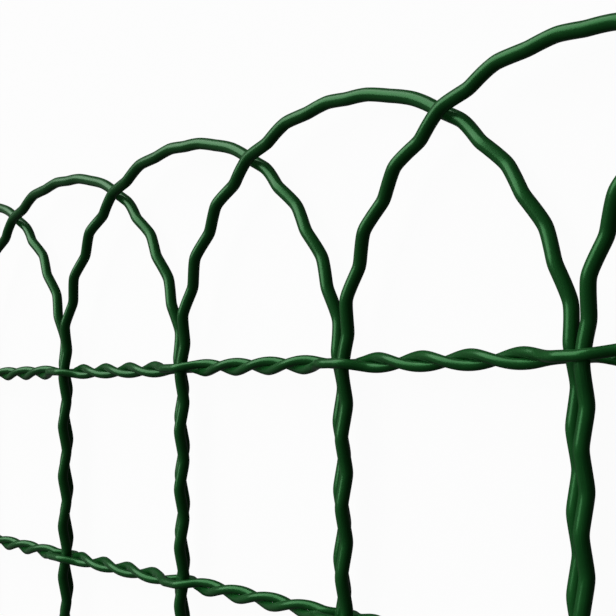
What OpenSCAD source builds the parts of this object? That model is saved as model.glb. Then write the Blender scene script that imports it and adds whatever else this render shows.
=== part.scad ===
// Arched wire border fencing, one metre cut from the length, lying flat.
// X runs along the fence, Y up the fence towards the arches, Z up from the floor.
// Every hoop wire is a crimped hairpin two pitches wide. Each upright is a pair
// of legs, the left leg of one hoop lying on the right leg of another, and each
// line wire is a pair of strands, twisted between the uprights, that grips them.
// All lengths are in millimetres.

/* [Mesh] */
// Cells from the first upright to the last
cells = 12; // [4:1:24]
// Upright to upright
pitch = 80; // [60:1:120]
// Line wire to line wire
line_spacing = 75; // [50:1:150]
// Line wires, counted from the top
line_count = 3; // [2:1:5]
// Strand left past the end uprights
overhang = 20; // [12:1:35]
// Leg left below the lowest line wire
tail = 20; // [12:1:60]
// How far the back half of an arch leans in as it passes its neighbour
back_lean = 3.7; // [0:0.1:6]

/* [Wire] */
// Hoop wire over its coating
hoop_d = 4; // [2:0.1:6]
// Line wire strand over its coating
strand_d = 3; // [1.5:0.1:4]

/* [Crimp] */
// Length of one whole wave
crimp_pitch = 20.3; // [12:0.1:40]
// Centre line to the crest of a wave at the top of the arch
top_crimp = 0.35; // [0:0.05:2]
// The same on the flanks of the arch
flank_crimp = 0.75; // [0:0.05:2]
// The same on the straight legs
leg_crimp = 0.65; // [0:0.05:2]
// First outward crest to the left of the top of the arch
left_lead = 2.9; // [0:0.1:10]
// First outward crest to the right of it
right_lead = 8.1; // [0:0.1:10]
// Angle at which the waves of flanks and legs lean out of the fence's plane
crimp_tilt = 45; // [0:1:60]

/* [Twist] */
// Whole turns in one cell
turns = 2; // [1:1:4]
// Middle of the twist to the middle of a strand
coil_r = 1.6; // [1:0.1:3]
// Straight run of a strand to either side of an upright
flat_run = 7.1; // [3:0.1:12]

/* [Fit] */
// Clearance between wires that touch
gap = 0.1; // [0.05:0.05:0.3]
// Half the sideways distance between the two legs of an upright
pair_step = 1.9; // [0:0.1:3]
// Half the depth between the two legs of an upright
pair_depth = 1.55; // [1.5:0.05:3]
// Straight end of a leg, clear of the lowest line wire
pin_length = 15; // [8:1:50]

/* [Hidden] */
hoop_sides = 6;
strand_sides = 5;
steps_a_turn = 5;
// Where the lean is greatest and how far it spreads, in arch radii from the top
lean_middle = 0.82;
lean_spread = 0.61;
// A swept wire runs this far into its plain end, a little thinner
seat_depth = 1;
seat_share = 0.96;
coating = [0.13, 0.30, 0.15];

hoop_count = cells - 1;
// Legs stand just inside the uprights, so the arch is a half circle of this radius
arch_r = pitch - pair_step;
arch_half = arch_r * PI / 2;
// Depth of a hoop where it crosses its neighbour, and where that crossing ends
cross_depth = (hoop_d + gap) / 2;
cross_s = arch_r * asin(pitch / 2 / arch_r) * PI / 180;
cross_hold = 2 * hoop_d;
pin_top = (line_count - 1) * line_spacing + tail - pin_length;
fence_length = cells * pitch;
// Corners of a turn stand outside the coil, so that its straight runs touch it
coil_corner = coil_r / cos(180 / steps_a_turn);

function two_digits(k) = str(k < 10 ? "0" : "", k);
function hoop_name(k) = str("hoop_wire_", two_digits(k));
function strand_name(line, front) = str("line_wire_", line, front ? "_front" : "_back", "_strand");

function unit(v) = v / norm(v);
function clamp(v) = max(0, min(1, v));
function ease(v) = let (t = clamp(v)) t * t * (3 - 2 * t);

// Hairpin without its crimp: s is the distance along it from the top of the
// arch, positive to the right, and the top line wire is at Y = 0.
function lean(s) = -back_lean * exp(-pow((s / arch_r - lean_middle) / lean_spread, 2));
function hairpin(s) =
    [lean(s), 0, 0] + (abs(s) < arch_half
        ? let (a = s / arch_r * 180 / PI) arch_r * [sin(a), cos(a), 0]
        : [sign(s) * arch_r, arch_half - abs(s), 0]);
function outward(s) =
    let (a = min(1, abs(s) / arch_half) * 90 * sign(s)) [sin(a), cos(a), 0];
// The left leg lies in front and the right leg behind. Neighbours pass each
// other at full depth, and lower down the legs of a pair nest closer.
function layer(s) =
    let (
        across = sin(90 * max(-1, min(1, s / (cross_s - cross_hold)))),
        down = ease((abs(s) - cross_s - cross_hold) / (arch_half - cross_s - cross_hold))
    ) [0, 0, -across * (cross_depth + (pair_depth - cross_depth) * down)];

// Crests stand half a wave apart on either side of the top of the arch, every
// other one outward. They are low over the top and highest on the flanks. Past
// the crossing they lean to the front on the left and to the back on the right,
// so the two legs of a pair wave across each other and never meet.
crest_step = crimp_pitch / 2;
leg_end = arch_half + pin_top;
function lead(side) = side < 0 ? left_lead : right_lead;
function crest_count(side) = floor((leg_end - lead(side)) / crest_step - 0.4);
function crimp(d) =
    top_crimp + (flank_crimp - top_crimp) * ease((d / arch_r - 0.13) / 0.38)
    + (leg_crimp - flank_crimp) * ease((d / arch_r - 1.28) / 0.32);
function tilt(d) = crimp_tilt * ease((d - cross_s - hoop_d) / (4 * hoop_d));
function crest(side, i) =
    let (
        d = lead(side) + i * crest_step,
        s = side * d,
        way = cos(tilt(d)) * outward(s) - [0, 0, side * sin(tilt(d))]
    ) hairpin(s) + layer(s) + (i % 2 == 0 ? 1 : -1) * crimp(d) * way;
function crests(side) = [for (i = [0 : crest_count(side)]) crest(side, i)];
function pin_start(side) = hairpin(side * leg_end) + layer(side * leg_end);

// Points along a hoop wire, from its left pin to its right one
hoop_path = concat(
    [pin_start(-1) - [0, seat_depth, 0], pin_start(-1)],
    [for (i = [crest_count(-1) : -1 : 0]) crest(-1, i)],
    crests(1),
    [pin_start(1), pin_start(1) - [0, seat_depth, 0]]
);

// How far a leg stands out of the fence's plane at a height, to its own side
function leg_depth(side, y) =
    lookup(y, [for (v = concat(crests(side), [pin_start(side)])) [v[1], -side * v[2]]]);

// Distances along a cell at which a strand turns by one step
cell_steps = turns * steps_a_turn;
function step_x(i) = flat_run + i * (pitch - 2 * flat_run) / cell_steps;
strand_x = concat(
    [-overhang],
    [
        for (c = [-1 : cells]) for (i = [0 : cell_steps])
            let (x = c * pitch + step_x(i))
            if (x > 2 - overhang && x < fence_length + overhang - 2) x
    ],
    [fence_length + overhang]
);
// A strand lies on the legs that its line wire crosses. It turns the other way in
// every other cell, and spreads to that depth within half a turn of an upright.
function line_y(line) = -(line - 1) * line_spacing;
function strand_depth(line, front) =
    leg_depth(front ? -1 : 1, line_y(line)) + hoop_d / 2 + gap + strand_d / 2;
function strand_point(x, at_upright, front) =
    let (
        c = floor(x / pitch),
        sense = c % 2 == 0 ? -1 : 1,
        along = clamp((x - c * pitch - flat_run) / (pitch - 2 * flat_run)),
        angle = sense * 360 * turns * along,
        free = ease(2 * turns * min(along, 1 - along)),
        depth = at_upright + (coil_corner - at_upright) * free,
        side = front ? 1 : -1
    ) [x, side * coil_corner * sin(angle), side * depth * cos(angle)];

// Rings of a round wire swept along a path, none of it running along Z
function heading(path, i) =
    let (last = len(path) - 1)
    unit(unit(path[min(i + 1, last)] - path[min(i, last - 1)])
        + unit(path[max(i, 1)] - path[max(i - 1, 0)]));
function ring(centre, along, r, sides, corner_up) =
    let (across = unit(cross(along, [0, 0, 1])), over = cross(across, along))
    [for (k = [0 : sides - 1])
        let (a = 360 * (k + (corner_up ? 0 : 0.5)) / sides + 90)
        centre + r * (cos(a) * across + sin(a) * over)];
function rings(path, r, sides, end_share = 1, corner_up = false) =
    [for (i = [0 : len(path) - 1])
        let (at_end = min(i, len(path) - 1 - i) < 2)
        ring(path[i], heading(path, i), r * (at_end ? end_share : 1), sides, corner_up)];

hoop_rings = rings(hoop_path, hoop_d / 2, hoop_sides, seat_share);
function strand_rings(line, front) =
    let (at_upright = strand_depth(line, front))
    rings([for (x = strand_x) strand_point(x, at_upright, front)], strand_d / 2, strand_sides, 1, front);

// The part's origin is at the middle of its length and height, on the floor
top_y = max([for (r = hoop_rings) for (v = r) v[1]]);
low_y = -pin_top - pin_length;
low_z = min([for (line = [1 : line_count]) for (r = strand_rings(line, false)) for (v = r) v[2]]);
to_origin = [-fence_length / 2, -(top_y + low_y) / 2, -low_z];

module swept(loops) {
    sides = len(loops[0]);
    last = len(loops) - 1;
    polyhedron(
        points = [for (r = loops) for (v = r) v],
        faces = concat(
            [[for (k = [sides - 1 : -1 : 0]) k]],
            [for (i = [0 : last - 1]) for (k = [0 : sides - 1])
                let (n = (k + 1) % sides, a = i * sides, b = a + sides)
                [a + k, a + n, b + n, b + k]],
            [[for (k = [0 : sides - 1]) last * sides + k]]
        )
    );
}

// The plain cut end of a leg, on side -1 or 1 of its hoop
module leg_pin(side) {
    translate(pin_start(side)) rotate([90, 0, 0])
        cylinder(d = hoop_d, h = pin_length, $fn = 48);
}

module hoop(k) {
    color(coating) translate(to_origin + [k * pitch, 0, 0]) {
        swept(hoop_rings);
        leg_pin(-1);
        leg_pin(1);
    }
}

module strand(line, front) {
    color(coating) translate(to_origin + [0, line_y(line), 0])
        swept(strand_rings(line, front));
}

for (k = [1 : hoop_count])
    hoop(k);
for (line = [1 : line_count]) for (front = [true, false])
    strand(line, front);
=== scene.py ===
"""Looks of a flat length of green coated, arched wire border fencing.

X runs along the fence, Y up the fence towards the arches, Z up from the floor.
Sizes are held in millimetres and go into the meshes in metres. The studio is
held in metres.
"""

import logging
import math
from dataclasses import dataclass, field
from enum import Enum
from typing import Union

import bpy
import numpy as np
from mathutils import Matrix, Vector

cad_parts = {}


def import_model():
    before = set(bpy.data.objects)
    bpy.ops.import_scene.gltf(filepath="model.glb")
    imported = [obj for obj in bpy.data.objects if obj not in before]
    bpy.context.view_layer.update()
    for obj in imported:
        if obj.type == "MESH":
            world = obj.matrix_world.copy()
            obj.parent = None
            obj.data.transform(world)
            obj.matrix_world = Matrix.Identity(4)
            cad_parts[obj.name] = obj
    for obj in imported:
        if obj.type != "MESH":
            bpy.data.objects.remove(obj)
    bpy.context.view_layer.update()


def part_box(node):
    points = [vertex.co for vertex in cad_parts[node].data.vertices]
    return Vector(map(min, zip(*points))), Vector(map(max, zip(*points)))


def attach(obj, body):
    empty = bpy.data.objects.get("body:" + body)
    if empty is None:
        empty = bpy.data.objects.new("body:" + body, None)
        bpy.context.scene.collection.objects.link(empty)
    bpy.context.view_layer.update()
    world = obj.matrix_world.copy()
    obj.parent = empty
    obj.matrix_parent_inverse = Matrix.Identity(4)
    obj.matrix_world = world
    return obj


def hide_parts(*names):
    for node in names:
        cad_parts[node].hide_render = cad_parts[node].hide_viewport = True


LOG = logging.getLogger("border_fencing")
MM = 0.001
BODY = "root"
WHITE = (1.0, 1.0, 1.0, 1.0)
MEAN_NOISE = 0.5
QUARTER_TURN = math.pi / 2.0
# Millimetres below which two lengths along a wire, and two radii, count as one
LEAST_STEP = 1e-3
LEAST_RADIUS = 1e-6

Colour = tuple[float, float, float]
Xyz = tuple[float, float, float]
Skins = list[bpy.types.Material]
Socket = bpy.types.NodeSocket
Value = Union[bpy.types.NodeSocket, float]


class Layer(Enum):
    """Which side of the fence a strand passes an upright on."""

    FRONT = 1
    BACK = -1


class Skin(Enum):
    """Material slots of a wire, by their place in its mesh."""

    COATING = 0
    CUT_CORE = 1


def ease(value: np.ndarray) -> np.ndarray:
    """Smooth step: 3 t squared less 2 t cubed, with t held between 0 and 1."""
    t = np.clip(value, 0.0, 1.0)
    return t * t * (3.0 - 2.0 * t)


def soft_ramp(value: np.ndarray, blend: float) -> np.ndarray:
    """A ramp that starts at zero along a parabola instead of a corner.

    It is 0 below -blend, value above blend, and (value + blend) squared over
    four blends between them.

    Args:
        value: distance past the corner of the ramp.
        blend: half the length of the parabola.

    Returns:
        The height of the ramp at each value.
    """
    curve = (value + blend) ** 2 / (4.0 * blend)
    return np.where(value < -blend, 0.0, np.where(value > blend, value, curve))


def unit(rows: np.ndarray) -> np.ndarray:
    """Each row divided by its length."""
    return rows / np.linalg.norm(rows, axis=1, keepdims=True)


def add_object(name: str, data: bpy.types.ID) -> bpy.types.Object:
    """Puts a new object into the scene, at the origin.

    Args:
        name: name of the object.
        data: its mesh, lamp or camera.

    Returns:
        The new object.
    """
    thing = bpy.data.objects.new(name, data)
    bpy.context.scene.collection.objects.link(thing)
    return thing


@dataclass(frozen=True)
class Fence:
    """Sizes that the hoops and the line wires share.

    Attributes:
        cells: cells from the first upright to the last.
        pitch: upright to upright.
        line_spacing: line wire to line wire.
        line_count: number of line wires.
        tail: leg left below the lowest line wire.
        overhang: strand left past the end uprights.
        pair_step: half the sideways distance between the legs of an upright.
        pair_depth: half the depth between them.
        gap: clearance between hoops where they cross.
        top_line_y: Y of the top line wire.
        middle_z: Z of the fence's middle plane.
    """

    cells: int = 12
    pitch: float = 80.0
    line_spacing: float = 75.0
    line_count: int = 3
    tail: float = 20.0
    overhang: float = 20.0
    pair_step: float = 1.9
    pair_depth: float = 1.55
    gap: float = 0.1
    top_line_y: float = 44.8045
    middle_z: float = 6.99656

    @property
    def left_x(self) -> float:
        """X of the first upright."""
        return -self.cells * self.pitch / 2.0

    @property
    def hoops(self) -> int:
        """Number of hoop wires."""
        return self.cells - 1

    @property
    def line_drop(self) -> float:
        """Distance from the top line wire down to the lowest."""
        return (self.line_count - 1) * self.line_spacing

    def line_y(self, line: int) -> float:
        """Y of a line wire, counted from the top."""
        return self.top_line_y - (line - 1) * self.line_spacing


@dataclass(frozen=True)
class RoundWire:
    """A coated wire: its sizes, and the sweep that makes its mesh.

    Attributes:
        diameter: thickness over the coating.
        core: thickness of the steel inside.
        sides: points in a ring.
        rim: radius of the rounded edge of a cut coating.
        rim_rings: rings in that edge.
        recess: how far the core stands below the cut.
        core_bevel: how much narrower the core is at its own end.
        centre_share: radius of the last ring as a share of the core's.
    """

    diameter: float
    core: float
    sides: int = 16
    rim: float = 0.16
    rim_rings: int = 4
    recess: float = 0.08
    core_bevel: float = 0.02
    centre_share: float = 0.05

    @property
    def radius(self) -> float:
        """Radius over the coating."""
        return self.diameter / 2.0

    @property
    def core_radius(self) -> float:
        """Radius of the steel core."""
        return self.core / 2.0

    def with_ends(self, path: np.ndarray) -> tuple[np.ndarray, np.ndarray, np.ndarray]:
        """Adds the rings of a saw-cut end to both ends of a path.

        From the outside in, an end has a quarter-round rim on the coating, a
        flat cut across it and a core that stands a little below the cut. A ring
        of the rim stands back from the cut by the rim times one less the sine
        of its turn, and is narrower by the rim times one less the cosine.

        Args:
            path: centre points of the wire, a row each.

        Returns:
            Centres, radii and headings of all rings, a row each.
        """
        heading = unit(np.gradient(path, axis=0))
        turn = np.linspace(0.0, QUARTER_TURN, self.rim_rings)
        core_r = self.core_radius
        back = np.concatenate([self.rim * (1.0 - np.sin(turn)), [0.0, self.recess, self.recess]])
        radii = np.concatenate([
            self.radius - self.rim * (1.0 - np.cos(turn)),
            [core_r, core_r - self.core_bevel, core_r * self.centre_share],
        ])
        start = path[:1] + back[::-1, None] * heading[:1]
        finish = path[-1:] - back[:, None] * heading[-1:]
        centres = np.concatenate([start, path[1:-1], finish])
        sizes = np.concatenate([radii[::-1], np.full(len(path) - 2, self.radius), radii])
        along = np.concatenate([
            np.repeat(heading[:1], len(back), axis=0),
            heading[1:-1],
            np.repeat(heading[-1:], len(back), axis=0),
        ])
        return centres, sizes, along

    def spokes(self, along: np.ndarray) -> np.ndarray:
        """Directions from the centre of each ring to its points.

        A spoke is cosine of the angle across the wire plus sine of it over the
        wire, where across is heading cross Z and over is across cross heading.

        Args:
            along: heading of each ring.

        Returns:
            Directions by ring, side and axis.
        """
        across = unit(np.cross(along, [0.0, 0.0, 1.0]))
        over = np.cross(across, along)
        angle = math.tau * np.arange(self.sides) / self.sides
        return (np.cos(angle)[None, :, None] * across[:, None]
                + np.sin(angle)[None, :, None] * over[:, None])

    def quads(self, ring: np.ndarray, side: np.ndarray) -> np.ndarray:
        """Corners of the faces between each ring and the next.

        Args:
            ring: number of the ring at each face.
            side: number of the side at each face.

        Returns:
            Four point numbers a face, a row each.
        """
        here, ahead = ring * self.sides, (ring + 1) * self.sides
        beside = (side + 1) % self.sides
        corners = [here + side, ahead + side, ahead + beside, here + beside]
        return np.stack(corners, axis=-1).reshape(-1, 4)

    def unwrap(self, mesh: bpy.types.Mesh, ring: np.ndarray, side: np.ndarray,
               length: np.ndarray) -> None:
        """Lays out the UV map, u in millimetres along the wire and v once around it.

        Args:
            mesh: mesh of the wire.
            ring: number of the ring at each face.
            side: number of the side at each face.
            length: distance of each ring along the wire.
        """
        here, ahead = length[ring], length[ring + 1]
        around = np.arange(self.sides)
        sides_u = np.stack([here, ahead, ahead, here], axis=-1)
        sides_v = np.stack([side, side, side + 1, side + 1], axis=-1) / self.sides
        caps_u = np.repeat([length[0], length[-1]], self.sides)
        caps_v = np.concatenate([around, around[::-1]]) / self.sides
        u = np.concatenate([sides_u.ravel(), caps_u])
        v = np.concatenate([sides_v.ravel(), caps_v])
        layer = mesh.uv_layers.new(name="along_wire").data
        layer.foreach_set("uv", np.stack([u, v], axis=-1).astype(np.float32).ravel())

    def mark_stretch(self, mesh: bpy.types.Mesh, along: np.ndarray, out: np.ndarray,
                     length: np.ndarray) -> None:
        """Stores how far each point's coating is stretched by the wire's bends.

        That is the radius times the path's curvature, positive outside a bend.

        Args:
            mesh: mesh of the wire.
            along: heading of each ring.
            out: direction of each point from its ring's centre.
            length: distance of each ring along the wire.
        """
        step = np.maximum(np.gradient(length), LEAST_STEP)
        bend = np.gradient(along, axis=0) / step[:, None]
        stretch = -np.einsum("ik,ijk->ij", bend, out) * self.radius
        values = mesh.attributes.new("stretch", "FLOAT", "POINT").data
        values.foreach_set("value", stretch.astype(np.float32).ravel())

    def part_skins(self, mesh: bpy.types.Mesh, sizes: np.ndarray) -> None:
        """Gives the cut core its own material and flat shading.

        Args:
            mesh: mesh of the wire.
            sizes: radius of each ring.
        """
        inner = sizes < self.core_radius + LEAST_RADIUS
        sides_on_core = np.repeat(inner[:-1] & inner[1:], self.sides)
        on_core = np.concatenate([sides_on_core, [True, True]])
        skin = np.where(on_core, Skin.CUT_CORE.value, Skin.COATING.value)
        mesh.polygons.foreach_set("material_index", skin.astype(np.int32))
        mesh.polygons.foreach_set("use_smooth", ~on_core)

    def mesh(self, name: str, path: np.ndarray) -> bpy.types.Mesh:
        """Carries a circle along a path and closes both cut ends.

        A ring's points are its centre plus its radius times each spoke.

        Args:
            name: name of the mesh.
            path: centre points of the wire in millimetres, a row each.

        Returns:
            A closed mesh in metres with a UV map and the stretch of its coating.
        """
        centres, sizes, along = self.with_ends(path)
        out = self.spokes(along)
        points = (centres[:, None] + sizes[:, None, None] * out).reshape(-1, 3)
        last = len(centres) - 1
        around = np.arange(self.sides)
        ring, side = np.meshgrid(np.arange(last), around, indexing="ij")
        caps = [around.tolist(), (last * self.sides + around[::-1]).tolist()]
        mesh = bpy.data.meshes.new(name)
        mesh.from_pydata((points * MM).tolist(), [], self.quads(ring, side).tolist() + caps)

        step = np.linalg.norm(np.diff(centres, axis=0), axis=1)
        length = np.concatenate([[0.0], np.cumsum(step)])
        self.unwrap(mesh, ring, side, length)
        self.mark_stretch(mesh, along, out, length)
        self.part_skins(mesh, sizes)
        mesh.update()
        return mesh


def new_group(name: str, inputs: dict[str, float], outputs: tuple[str, ...]) -> tuple[
        bpy.types.ShaderNodeTree, bpy.types.Node, bpy.types.Node]:
    """Makes an empty shader node group with float sockets.

    Args:
        name: name of the group.
        inputs: name and default of each input.
        outputs: name of each output.

    Returns:
        The group, its input node and its output node.
    """
    tree = bpy.data.node_groups.new(name, "ShaderNodeTree")
    for label, value in inputs.items():
        socket = tree.interface.new_socket(label, in_out="INPUT", socket_type="NodeSocketFloat")
        socket.default_value = value
    for label in outputs:
        tree.interface.new_socket(label, in_out="OUTPUT", socket_type="NodeSocketFloat")
    return tree, tree.nodes.new("NodeGroupInput"), tree.nodes.new("NodeGroupOutput")


def new_material(name: str) -> tuple[bpy.types.Material, bpy.types.NodeTree, bpy.types.Node]:
    """Makes a material with nodes.

    Args:
        name: name of the material.

    Returns:
        The material, its node tree and its shader.
    """
    material = bpy.data.materials.new(name)
    material.use_nodes = True
    tree = material.node_tree
    return material, tree, tree.nodes["Principled BSDF"]


def math_node(tree: bpy.types.NodeTree, operation: str, first: Value, second: Value,
              clamp: bool = False) -> Socket:
    """Adds a Math node.

    Args:
        tree: node tree to add it to.
        operation: Blender's name of the operation.
        first: socket or number for the first input.
        second: socket or number for the second input.
        clamp: whether the result is held between 0 and 1.

    Returns:
        The output socket.
    """
    node = tree.nodes.new("ShaderNodeMath")
    node.operation, node.use_clamp = operation, clamp
    for socket, value in zip(node.inputs, (first, second)):
        if isinstance(value, bpy.types.NodeSocket):
            tree.links.new(value, socket)
        else:
            socket.default_value = value
    return node.outputs[0]


def noise_node(tree: bpy.types.NodeTree, vector: Socket, scale: Xyz, detail: float) -> Socket:
    """Adds a noise texture whose coordinates are scaled axis by axis.

    Args:
        tree: node tree to add it to.
        vector: coordinates of the noise.
        scale: scale of the coordinates along each axis.
        detail: octaves of the noise.

    Returns:
        The noise value, about 0.5 on average.
    """
    mapping = tree.nodes.new("ShaderNodeMapping")
    mapping.inputs["Scale"].default_value = scale
    tree.links.new(vector, mapping.inputs["Vector"])
    noise = tree.nodes.new("ShaderNodeTexNoise")
    noise.inputs["Scale"].default_value = 1.0
    noise.inputs["Detail"].default_value = detail
    tree.links.new(mapping.outputs[0], noise.inputs["Vector"])
    return noise.outputs["Fac"]


def colour_node(tree: bpy.types.NodeTree, share: Socket, first: Colour, second: Colour) -> Socket:
    """Adds a mix of two colours.

    Args:
        tree: node tree to add it to.
        share: share of the second colour.
        first: colour at a share of 0.
        second: colour at a share of 1.

    Returns:
        The mixed colour.
    """
    mix = tree.nodes.new("ShaderNodeMix")
    mix.data_type = "RGBA"
    mix.inputs["A"].default_value = (*first, 1.0)
    mix.inputs["B"].default_value = (*second, 1.0)
    tree.links.new(share, mix.inputs["Factor"])
    return mix.outputs["Result"]


def bump_node(tree: bpy.types.NodeTree, height: Socket, relief_mm: float) -> Socket:
    """Adds a bump.

    Args:
        tree: node tree to add it to.
        height: height of the surface.
        relief_mm: what a height of 1 stands for.

    Returns:
        The bumped normal.
    """
    bump = tree.nodes.new("ShaderNodeBump")
    bump.inputs["Distance"].default_value = relief_mm * MM
    tree.links.new(height, bump.inputs["Height"])
    return bump.outputs["Normal"]


@dataclass
class CoatedSkin:
    """Surface of an extruded PVC coating, as a node group.

    Clouds of tone a few millimetres across, drawn lines along the wire, and
    fine ripples across it that show outside a bend, where the coating is
    stretched.

    Attributes:
        cloud_scale: scale of the clouds, over a metre.
        cloud_detail: octaves of the clouds.
        grain_scale: scale of the grain, over a metre.
        draw_lines: scale of the lines along and around the wire.
        ripples: scale of the ripples along and around the wire.
        fine_detail: octaves of grain, lines and ripples.
        stretch_gain: how soon a stretched place is fully pale.
        middle_tone: tone of a plain place.
        line_tone: how strongly the lines change the tone.
        line_height: height of the lines.
        grain_height: height of the grain.
        plain_ripple: height of the ripples where nothing is stretched.
        tree: the node group.
    """

    cloud_scale: float = 170.0
    cloud_detail: float = 3.0
    grain_scale: float = 1500.0
    draw_lines: Xyz = (0.05, 14.0, 1.0)
    ripples: Xyz = (1.7, 2.0, 1.0)
    fine_detail: float = 2.0
    stretch_gain: float = 2.2
    middle_tone: float = 0.4
    line_tone: float = 0.5
    line_height: float = 0.5
    grain_height: float = 0.25
    plain_ripple: float = 0.25
    tree: bpy.types.ShaderNodeTree = field(init=False)

    def __post_init__(self) -> None:
        """Builds the group.

        Tone is the middle tone plus clouds, lines and the paling of stretched
        places. Roughness spreads about its input with the lines. Height is the
        sum of ripples, grain and lines.
        """
        defaults = {"Cloud": 0.5, "Stretch Paling": 0.5, "Roughness": 0.4, "Roughness Spread": 0.1}
        self.tree, given, result = new_group("coated_skin", defaults, ("Tone", "Roughness", "Height"))
        tree, link = self.tree, self.tree.links.new
        place = tree.nodes.new("ShaderNodeTexCoord").outputs
        stretch = tree.nodes.new("ShaderNodeAttribute")
        stretch.attribute_name = "stretch"
        clouds = noise_node(tree, place["Object"], (self.cloud_scale,) * 3, self.cloud_detail)
        grain = noise_node(tree, place["Object"], (self.grain_scale,) * 3, self.fine_detail)
        lines = noise_node(tree, place["UV"], self.draw_lines, self.fine_detail)
        ripples = noise_node(tree, place["UV"], self.ripples, self.fine_detail)
        outside = math_node(tree, "MULTIPLY", stretch.outputs["Fac"], self.stretch_gain, clamp=True)
        cloud_swing = math_node(tree, "SUBTRACT", clouds, MEAN_NOISE)
        line_swing = math_node(tree, "SUBTRACT", lines, MEAN_NOISE)

        cloud = math_node(tree, "MULTIPLY", cloud_swing, given.outputs["Cloud"])
        streak = math_node(tree, "MULTIPLY", line_swing, self.line_tone)
        paling = math_node(tree, "MULTIPLY", outside, given.outputs["Stretch Paling"])
        change = math_node(tree, "ADD", math_node(tree, "ADD", cloud, streak), paling)
        tone = math_node(tree, "ADD", change, self.middle_tone, clamp=True)
        link(tone, result.inputs["Tone"])

        spread = math_node(tree, "MULTIPLY", line_swing, given.outputs["Roughness Spread"])
        roughness = math_node(tree, "ADD", spread, given.outputs["Roughness"], clamp=True)
        link(roughness, result.inputs["Roughness"])

        ripple_share = math_node(tree, "ADD", outside, self.plain_ripple)
        ripple = math_node(tree, "MULTIPLY", ripples, ripple_share)
        fine = math_node(tree, "ADD", math_node(tree, "MULTIPLY", grain, self.grain_height),
                         math_node(tree, "MULTIPLY", lines, self.line_height))
        link(math_node(tree, "ADD", ripple, fine), result.inputs["Height"])


@dataclass(frozen=True)
class CoatingFinish:
    """Semi-gloss dark green PVC.

    Attributes:
        name: name of the material.
        deep: colour at the darkest tone.
        pale: colour at the palest tone.
        cloud: strength of the clouds.
        paling: how much paler a stretched place is.
        roughness: roughness on average.
        spread: how far the roughness swings.
        relief_mm: height of the fine relief.
        specular: strength of the gloss.
        sheen_tint: colour of the gloss seen square on.
    """

    name: str
    deep: Colour = (0.0045, 0.0455, 0.0085)
    pale: Colour = (0.0108, 0.095, 0.0178)
    cloud: float = 0.8
    paling: float = 0.35
    roughness: float = 0.26
    spread: float = 0.12
    relief_mm: float = 0.03
    specular: float = 0.45
    sheen_tint: Colour = (0.27, 1.0, 0.36)

    def material(self, skin: CoatedSkin) -> bpy.types.Material:
        """Makes the material.

        Args:
            skin: node group of the coating's surface.

        Returns:
            The material.
        """
        material, tree, shader = new_material(self.name)
        link = tree.links.new
        group = tree.nodes.new("ShaderNodeGroup")
        group.node_tree = skin.tree
        group.inputs["Cloud"].default_value = self.cloud
        group.inputs["Stretch Paling"].default_value = self.paling
        group.inputs["Roughness"].default_value = self.roughness
        group.inputs["Roughness Spread"].default_value = self.spread
        colour = colour_node(tree, group.outputs["Tone"], self.deep, self.pale)
        link(colour, shader.inputs["Base Color"])
        link(group.outputs["Roughness"], shader.inputs["Roughness"])
        normal = bump_node(tree, group.outputs["Height"], self.relief_mm)
        link(normal, shader.inputs["Normal"])
        shader.inputs["Specular IOR Level"].default_value = self.specular
        shader.inputs["Specular Tint"].default_value = (*self.sheen_tint, 1.0)
        return material


@dataclass(frozen=True)
class CutSteelFinish:
    """Galvanised steel at a saw-cut end, with the marks of the cut.

    Attributes:
        name: name of the material.
        dark: colour in a mark.
        bright: colour between marks.
        marks: scale of the marks along each axis, over a metre.
        mark_detail: octaves of the marks.
        roughness: roughness on average.
        spread: how far the roughness swings.
        relief_mm: height of the marks.
    """

    name: str = "cut_steel"
    dark: Colour = (0.30, 0.30, 0.29)
    bright: Colour = (0.58, 0.58, 0.57)
    marks: Xyz = (900.0, 900.0, 5200.0)
    mark_detail: float = 3.0
    roughness: float = 0.42
    spread: float = 0.2
    relief_mm: float = 0.04

    def material(self) -> bpy.types.Material:
        """Makes the material: a metal with fine parallel cutting marks."""
        material, tree, shader = new_material(self.name)
        link = tree.links.new
        place = tree.nodes.new("ShaderNodeTexCoord").outputs
        marks = noise_node(tree, place["Object"], self.marks, self.mark_detail)
        colour = colour_node(tree, marks, self.dark, self.bright)
        link(colour, shader.inputs["Base Color"])
        swing = math_node(tree, "MULTIPLY", marks, self.spread)
        rough = math_node(tree, "ADD", swing, self.roughness - self.spread * MEAN_NOISE)
        link(rough, shader.inputs["Roughness"])
        link(bump_node(tree, marks, self.relief_mm), shader.inputs["Normal"])
        shader.inputs["Metallic"].default_value = 1.0
        return material


def place_piece(name: str, mesh: bpy.types.Mesh, skins: Skins) -> bpy.types.Object:
    """Puts a wire into the scene in place of its CAD node.

    Args:
        name: name of the CAD node.
        mesh: mesh of the wire.
        skins: its materials in the order of Skin.

    Returns:
        The new object.
    """
    for skin in skins:
        mesh.materials.append(skin)
    piece = add_object(f"{name}_wire", mesh)
    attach(piece, BODY)
    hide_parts(name)
    LOG.info("%s: %d points, %d faces", piece.name, len(mesh.vertices), len(mesh.polygons))
    return piece


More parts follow.
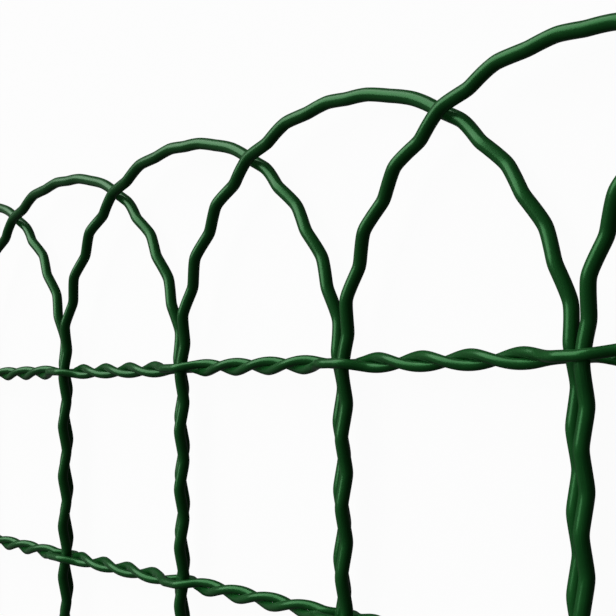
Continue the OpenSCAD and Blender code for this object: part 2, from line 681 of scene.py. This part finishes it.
@dataclass
class HoopWires:
    """Crimped hairpins two pitches wide, each overlapping its neighbours.

    The methods take s, the distance along a hairpin from the top of its arch,
    negative on the left. Starts and eases are in arch radii from the top.

    Attributes:
        fence: sizes shared with the line wires.
        wire: the coated wire.
        back_lean: how far the back half of an arch leans in.
        lean_middle: where it leans most.
        lean_spread: how far the lean spreads.
        cross_hold: run to either side of a crossing at its full depth.
        crimp_pitch: length of one whole wave.
        crimp_sharpness: 0 for a sine, 1 for straight runs between sharp crests.
        left_top_crimp: height of a wave left of the top.
        right_top_crimp: height right of the top.
        left_flank_crimp: height on the left flank of the arch.
        right_flank_crimp: height on the right flank.
        leg_crimp: height on the legs.
        left_flank_start: where the left flank's waves begin to grow.
        right_flank_start: where the right flank's waves begin to grow.
        flank_ease: run over which they grow.
        leg_start: where the legs' waves begin to take over.
        leg_ease: run over which they do.
        left_lead: first outward crest to the left of the top.
        right_lead: first outward crest to the right of it.
        lead_change: run over which one lead turns into the other.
        flank_tilt_deg: lean of the flanks' waves out of the fence's plane.
        leg_tilt_deg: lean of the legs' waves.
        tilt_run: run past the crossing over which the waves lean out.
        pin_length: straight end of a leg.
        fade: run over which the waves fade out above it.
        top_press: how far the top line wire presses the front leg in.
        low_press: how far the lowest line wire presses the back leg in.
        press_run: how far up and down the leg that reaches.
        ring_step: distance from ring to ring.
    """

    fence: Fence
    wire: RoundWire = RoundWire(diameter=4.0, core=3.0)
    back_lean: float = 3.7
    lean_middle: float = 0.82
    lean_spread: float = 0.61
    cross_hold: float = 8.0
    crimp_pitch: float = 20.3
    crimp_sharpness: float = 0.92
    left_top_crimp: float = 0.35
    right_top_crimp: float = 0.14
    left_flank_crimp: float = 0.85
    right_flank_crimp: float = 0.65
    leg_crimp: float = 0.775
    left_flank_start: float = 0.13
    right_flank_start: float = 0.38
    flank_ease: float = 0.38
    leg_start: float = 1.28
    leg_ease: float = 0.32
    left_lead: float = 2.6
    right_lead: float = 7.9
    lead_change: float = 14.0
    flank_tilt_deg: float = 56.0
    leg_tilt_deg: float = 65.0
    tilt_run: float = 16.0
    pin_length: float = 15.0
    fade: float = 8.0
    top_press: float = 0.3
    low_press: float = 0.08
    press_run: float = 4.5
    ring_step: float = 0.85

    @property
    def arch_r(self) -> float:
        """Radius of the half circle of an arch."""
        return self.fence.pitch - self.fence.pair_step

    @property
    def arch_half(self) -> float:
        """Distance from the top of an arch to where a leg starts."""
        return self.arch_r * math.pi / 2.0

    @property
    def cross_s(self) -> float:
        """Distance from the top of an arch to where it crosses its neighbour."""
        return self.arch_r * math.asin(self.fence.pitch / 2.0 / self.arch_r)

    def on_leg(self, s: np.ndarray) -> np.ndarray:
        """Share of the leg's crimp, easing from 0 on the flanks to 1 on the legs."""
        return ease((np.abs(s) / self.arch_r - self.leg_start) / self.leg_ease)

    def crimp(self, s: np.ndarray, end: float) -> np.ndarray:
        """Height of the crimp's wave.

        A triangle wave with rounded crests: the arcsine of sharpness times the
        cosine of the phase, over the arcsine of sharpness. Its height eases
        from the arch's top to its flanks and on to the legs, it has its own
        lead on either side of the top, and it fades out before the pins.

        Args:
            s: distance along the hairpin.
            end: distance at which the pins start.

        Returns:
            Distance of the wire from the plain hairpin.
        """
        far = np.abs(s) / self.arch_r
        right = 0.5 + 0.5 * np.tanh(s / self.lead_change)
        top = self.left_top_crimp + (self.right_top_crimp - self.left_top_crimp) * right
        flank = np.where(s < 0.0, self.left_flank_crimp, self.right_flank_crimp)
        start = np.where(s < 0.0, self.left_flank_start, self.right_flank_start)
        height = top + (flank - top) * ease((far - start) / self.flank_ease)
        height = height + (self.leg_crimp - flank) * self.on_leg(s)
        lead = self.left_lead + (self.crimp_pitch - self.right_lead - self.left_lead) * right
        phase = math.tau * (s + lead) / self.crimp_pitch
        wave = np.arcsin(self.crimp_sharpness * np.cos(phase)) / math.asin(self.crimp_sharpness)
        return height * wave * ease((end - np.abs(s)) / self.fade)

    def tilt(self, s: np.ndarray) -> np.ndarray:
        """Lean of the waves out of the fence's plane.

        From one wire past the crossing it eases from none to the flanks' lean,
        and on the legs to theirs.

        Args:
            s: distance along the hairpin.

        Returns:
            Angles in radians.
        """
        past = (np.abs(s) - self.cross_s - self.wire.diameter) / self.tilt_run
        more = self.leg_tilt_deg - self.flank_tilt_deg
        return np.radians(self.flank_tilt_deg * ease(past) + more * self.on_leg(s))

    def depth(self, s: np.ndarray) -> np.ndarray:
        """Height over the fence's middle: left leg in front, right leg behind.

        A sine carries the wire from one side to the other over the top of the
        arch, it passes its neighbours at half a wire and half a gap, and eases
        to the depth of the pair lower down.

        Args:
            s: distance along the hairpin.

        Returns:
            Z from the fence's middle plane.
        """
        cross = (self.wire.diameter + self.fence.gap) / 2.0
        held_from, held_to = self.cross_s - self.cross_hold, self.cross_s + self.cross_hold
        across = np.sin(QUARTER_TURN * np.clip(s / held_from, -1.0, 1.0))
        down = ease((np.abs(s) - held_to) / (self.arch_half - held_to))
        return -across * (cross + (self.fence.pair_depth - cross) * down)

    def press(self, s: np.ndarray) -> np.ndarray:
        """Height that a leg gives way where a line wire grips it.

        A bell curve presses the front leg in at the top line wire, and another
        the back leg at the lowest.

        Args:
            s: distance along the hairpin.

        Returns:
            Change of Z.
        """
        lowest = self.arch_half + self.fence.line_drop
        at_top = np.exp(-((s + self.arch_half) / self.press_run) ** 2)
        at_lowest = np.exp(-((s - lowest) / self.press_run) ** 2)
        return self.low_press * at_lowest - self.top_press * at_top

    def path(self) -> np.ndarray:
        """Centre line of a hoop at its own X, from the left pin to the right.

        Over the arch a point stands at arch radius times sine and cosine of
        distance over radius, below it on a straight leg. The back half leans
        in by a bell curve of that distance. The crimp moves a point outward
        over the arch. Past the crossing it leans out of the fence's plane, to
        the front on the left and to the back on the right.

        Returns:
            Points in the part's frame, a row each.
        """
        fence = self.fence
        end = self.arch_half + fence.line_drop + fence.tail
        s = np.linspace(-end, end, int(2.0 * end / self.ring_step))
        angle = np.clip(s / self.arch_r, -QUARTER_TURN, QUARTER_TURN)
        out = np.stack([np.sin(angle), np.cos(angle)], axis=1)
        below = np.maximum(np.abs(s) - self.arch_half, 0.0)
        plain = self.arch_r * out - below[:, None] * [0.0, 1.0]
        bell = np.exp(-((s / self.arch_r - self.lean_middle) / self.lean_spread) ** 2)
        plain = plain - self.back_lean * bell[:, None] * [1.0, 0.0]
        wave = self.crimp(s, end - self.pin_length)
        tilt = self.tilt(s)
        flat = plain + (wave * np.cos(tilt))[:, None] * out
        height = self.depth(s) - np.sign(s) * wave * np.sin(tilt) + self.press(s)
        return np.column_stack([
            flat[:, 0],
            flat[:, 1] + fence.top_line_y,
            height + fence.middle_z,
        ])

    def build(self, skins: Skins) -> None:
        """Builds every hoop wire.

        Args:
            skins: materials in the order of Skin.
        """
        path = self.path()
        for number in range(1, self.fence.hoops + 1):
            name = f"hoop_wire_{number:02d}"
            x = self.fence.left_x + number * self.fence.pitch
            place_piece(name, self.wire.mesh(name, path + [x, 0.0, 0.0]), skins)


@dataclass
class LineWires:
    """Pairs of strands, twisted between the uprights, that grip the legs.

    The methods take x, the distance along the fence from its first upright.

    Attributes:
        fence: sizes shared with the hoops.
        wire: the coated wire of a strand.
        turns: whole turns in one cell.
        coil_r: middle of the twist to the middle of a strand.
        flat_run: straight run of a strand to either side of an upright.
        blend: half the run over which the turning sets in.
        early: how far the whole twist is moved towards the upright on its left.
        front_hug: half the run of a front strand at its full depth.
        front_gather: where a front strand has closed up, from the upright.
        back_hug: half the run of a back strand at its full depth.
        back_gather: where a back strand has closed up, from the back leg.
        ring_step: distance from ring to ring.
    """

    fence: Fence
    wire: RoundWire = RoundWire(diameter=3.0, core=2.0, sides=14)
    turns: int = 2
    coil_r: float = 1.5
    flat_run: float = 6.95
    blend: float = 4.5
    early: float = 1.6
    front_hug: float = 2.8
    front_gather: float = 12.5
    back_hug: float = 0.6
    back_gather: float = 8.6
    ring_step: float = 0.85

    def name(self, line: int, layer: Layer) -> str:
        """Name of a strand's CAD node."""
        return f"line_wire_{line}_{layer.name.lower()}_strand"

    def upright_depth(self, line: int, layer: Layer) -> float:
        """How far a strand stands out of the fence's plane as it passes an upright.

        Args:
            line: line wire that it belongs to, counted from the top.
            layer: side of the fence on which it passes the uprights.

        Returns:
            Distance of its centre line from the middle plane.
        """
        low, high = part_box(self.name(line, layer))
        face = (high if layer is Layer.FRONT else low)[2] / MM
        return abs(face - self.fence.middle_z) - self.wire.radius

    def turn(self, x: np.ndarray) -> np.ndarray:
        """Angle by which the strands have turned about their line.

        They pass an upright without turning, then turn at one rate, two turns
        in a cell, the other way in every other cell. A ramp that starts softly
        less one that ends softly gives the share of the turns made.

        Args:
            x: distance along the fence.

        Returns:
            Angles in radians.
        """
        pitch = self.fence.pitch
        cell = np.floor(x / pitch)
        here = x - cell * pitch + self.early
        twist = pitch - 2.0 * self.flat_run
        along = (soft_ramp(here - self.flat_run, self.blend)
                 - soft_ramp(here - pitch + self.flat_run, self.blend)) / twist
        sense = np.where(cell % 2 == 0, -1.0, 1.0)
        return sense * math.tau * self.turns * along

    def bulge(self, x: np.ndarray, line: int, layer: Layer) -> np.ndarray:
        """Distance of a strand from the middle plane before it turns.

        It eases from the surface of the leg to the coil's radius. The front
        strand bulges widely about the upright, the back strand narrowly about
        the back leg.

        Args:
            x: distance along the fence.
            line: line wire that it belongs to, counted from the top.
            layer: side of the fence on which it passes the uprights.

        Returns:
            Distances of its centre line.
        """
        pitch = self.fence.pitch
        if layer is Layer.FRONT:
            middle, hug, gather = 0.0, self.front_hug, self.front_gather
        else:
            middle, hug, gather = -self.fence.pair_step, self.back_hug, self.back_gather
        aside = (x - middle + pitch / 2.0) % pitch - pitch / 2.0
        free = ease((np.abs(aside) - hug) / (gather - hug))
        upright = self.upright_depth(line, layer)
        return upright + (self.coil_r - upright) * free

    def path(self, line: int, layer: Layer) -> np.ndarray:
        """Centre line of a strand.

        Y is the coil radius times the sine of the turn, and Z the bulge times
        its cosine, both to the strand's own side.

        Args:
            line: line wire that it belongs to, counted from the top.
            layer: side of the fence on which it passes the uprights.

        Returns:
            Points in the part's frame, a row each.
        """
        fence = self.fence
        run = fence.cells * fence.pitch
        full = run + 2.0 * fence.overhang
        x = np.linspace(-fence.overhang, run + fence.overhang, int(full / self.ring_step))
        angle = self.turn(x)
        return np.column_stack([
            x + fence.left_x,
            layer.value * self.coil_r * np.sin(angle) + fence.line_y(line),
            layer.value * self.bulge(x, line, layer) * np.cos(angle) + fence.middle_z,
        ])

    def build(self, skins: Skins) -> None:
        """Builds both strands of every line wire.

        Args:
            skins: materials in the order of Skin.
        """
        for line in range(1, self.fence.line_count + 1):
            for layer in Layer:
                name = self.name(line, layer)
                place_piece(name, self.wire.mesh(name, self.path(line, layer)), skins)


@dataclass
class Studio:
    """Pale floor, two large soft lamps and a plain surround, in metres.

    Attributes:
        floor_half: half the width of the floor.
        floor_drop: how far the floor lies below the part.
        floor_grey: colour of the floor under the lamps.
        floor_roughness: roughness of the floor.
        floor_glow: how white the floor is to the camera.
        surround_grey: light from all round.
        bright_side: light added on the bright side.
        bright_from: direction of the bright side.
        bright_power: how closely that light gathers there.
        mirrored: share of the white that shows in gloss.
        key_from: direction of the lamps.
        key_along: direction of their longer side.
        key_size: their length and width.
        key_far: distance of the lamp with shadows.
        key_watts: its power.
        open_far: distance of the lamp without shadows.
        open_watts: its power.
    """

    floor_half: float = 6.0
    floor_drop: float = 0.0001
    floor_grey: float = 0.04
    floor_roughness: float = 0.9
    floor_glow: float = 0.95
    surround_grey: float = 0.045
    bright_side: float = 0.22
    bright_from: Xyz = (-0.58, 0.53, 0.62)
    bright_power: float = 3.0
    mirrored: float = 0.04
    key_from: Xyz = (-0.44, 0.64, 0.63)
    key_along: Xyz = (0.39, 0.82, -0.41)
    key_size: tuple[float, float] = (7.2, 4.2)
    key_far: float = 5.0
    key_watts: float = 150.0
    open_far: float = 5.3
    open_watts: float = 162.0

    def seen(self, tree: bpy.types.NodeTree) -> Socket:
        """One for camera rays, the mirrored share for glossy and transmission rays."""
        rays = tree.nodes.new("ShaderNodeLightPath").outputs
        bent = math_node(tree, "ADD", rays["Is Glossy Ray"], rays["Is Transmission Ray"], clamp=True)
        dim = math_node(tree, "MULTIPLY", bent, self.mirrored)
        return math_node(tree, "ADD", rays["Is Camera Ray"], dim, clamp=True)

    def floor(self) -> None:
        """Lays a grey floor that glows to the camera, so shadows stay faint."""
        h, z = self.floor_half, -self.floor_drop
        mesh = bpy.data.meshes.new("floor")
        mesh.from_pydata([(-h, -h, z), (h, -h, z), (h, h, z), (-h, h, z)], [], [(0, 1, 2, 3)])
        material, tree, shader = new_material("pale_floor")
        shader.inputs["Base Color"].default_value = (self.floor_grey,) * 3 + (1.0,)
        shader.inputs["Roughness"].default_value = self.floor_roughness
        shader.inputs["Specular IOR Level"].default_value = 0.0
        shader.inputs["Emission Color"].default_value = WHITE
        glow = math_node(tree, "MULTIPLY", self.seen(tree), self.floor_glow)
        tree.links.new(glow, shader.inputs["Emission Strength"])
        mesh.materials.append(material)
        add_object("floor", mesh)

    def surround(self) -> None:
        """Sets the world: white where it is seen, and where it lights a dark grey.

        The grey grows towards the bright side by the bright power of half of
        one plus the cosine of the angle from it.
        """
        world = bpy.data.worlds.new("surround")
        bpy.context.scene.world = world
        world.use_nodes = True
        tree = world.node_tree
        back = tree.nodes["Background"]
        back.inputs["Color"].default_value = WHITE
        cosine = tree.nodes.new("ShaderNodeVectorMath")
        cosine.operation = "DOT_PRODUCT"
        cosine.inputs[1].default_value = Vector(self.bright_from).normalized()
        tree.links.new(tree.nodes.new("ShaderNodeTexCoord").outputs["Generated"], cosine.inputs[0])
        half = math_node(tree, "MULTIPLY", math_node(tree, "ADD", cosine.outputs["Value"], 1.0), 0.5)
        gathered = math_node(tree, "POWER", half, self.bright_power)
        bright = math_node(tree, "MULTIPLY", gathered, self.bright_side)
        grey = math_node(tree, "ADD", bright, self.surround_grey)
        tree.links.new(math_node(tree, "ADD", self.seen(tree), grey), back.inputs["Strength"])

    def lamp(self, name: str, far: float, watts: float, shadow: bool) -> None:
        """Hangs a large oval soft lamp that faces the part.

        Args:
            name: name of the lamp.
            far: distance from the part in metres.
            watts: power of the lamp.
            shadow: whether its light casts shadows.
        """
        data = bpy.data.lights.new(name, "AREA")
        data.shape, data.energy, data.use_shadow = "ELLIPSE", watts, shadow
        data.size, data.size_y = self.key_size
        back = Vector(self.key_from).normalized()
        across = back.cross(Vector(self.key_along)).normalized()
        turn = Matrix((across.cross(back), across, back)).transposed().to_4x4()
        add_object(name, data).matrix_world = Matrix.Translation(back * far) @ turn

    def build(self) -> None:
        """Sets up floor, surround and lamps."""
        self.floor()
        self.surround()
        self.lamp("key", self.key_far, self.key_watts, True)
        self.lamp("key_without_shadow", self.open_far, self.open_watts, False)


@dataclass
class PhotoCamera:
    """A low camera close to the fence that looks along it at a slant.

    Attributes:
        eye_mm: place of the camera.
        slant_deg: angle between the view and the fence.
        lens_mm: focal length.
        sensor_mm: width of the sensor.
        rise: shift of the picture, in widths.
        clip_m: nearest and farthest distance that is seen, in metres.
    """

    eye_mm: Xyz = (215.5, 35.8, 222.56)
    slant_deg: float = 43.06
    lens_mm: float = 60.36
    sensor_mm: float = 36.0
    rise: float = 0.1398
    clip_m: tuple[float, float] = (0.01, 50.0)

    def build(self) -> None:
        """Makes the scene's camera: level, up along Y, turned by the slant."""
        slant = math.radians(self.slant_deg)
        right = Vector((math.sin(slant), 0.0, -math.cos(slant)))
        back = Vector((math.cos(slant), 0.0, math.sin(slant)))
        up = Vector((0.0, 1.0, 0.0))
        data = bpy.data.cameras.new("photo_camera")
        data.sensor_width, data.lens, data.shift_y = self.sensor_mm, self.lens_mm, self.rise
        data.clip_start, data.clip_end = self.clip_m
        camera = add_object("photo_camera", data)
        turn = Matrix((right, up, back)).transposed().to_4x4()
        camera.matrix_world = Matrix.Translation(Vector(self.eye_mm) * MM) @ turn
        bpy.context.scene.camera = camera


def main() -> None:
    """Loads the frame, builds every wire and sets up the studio."""
    logging.basicConfig(level=logging.INFO, format="%(name)s: %(message)s")
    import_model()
    bpy.context.scene.view_settings.view_transform = "Standard"

    skin = CoatedSkin()
    core = CutSteelFinish().material()
    fence = Fence()
    hoops = HoopWires(fence)
    hoops.build([CoatingFinish("hoop_coating").material(skin), core])
    lines = LineWires(fence)
    lines.build([CoatingFinish("strand_coating").material(skin), core])
    Studio().build()
    PhotoCamera().build()


if __name__ == "__main__":
    main()
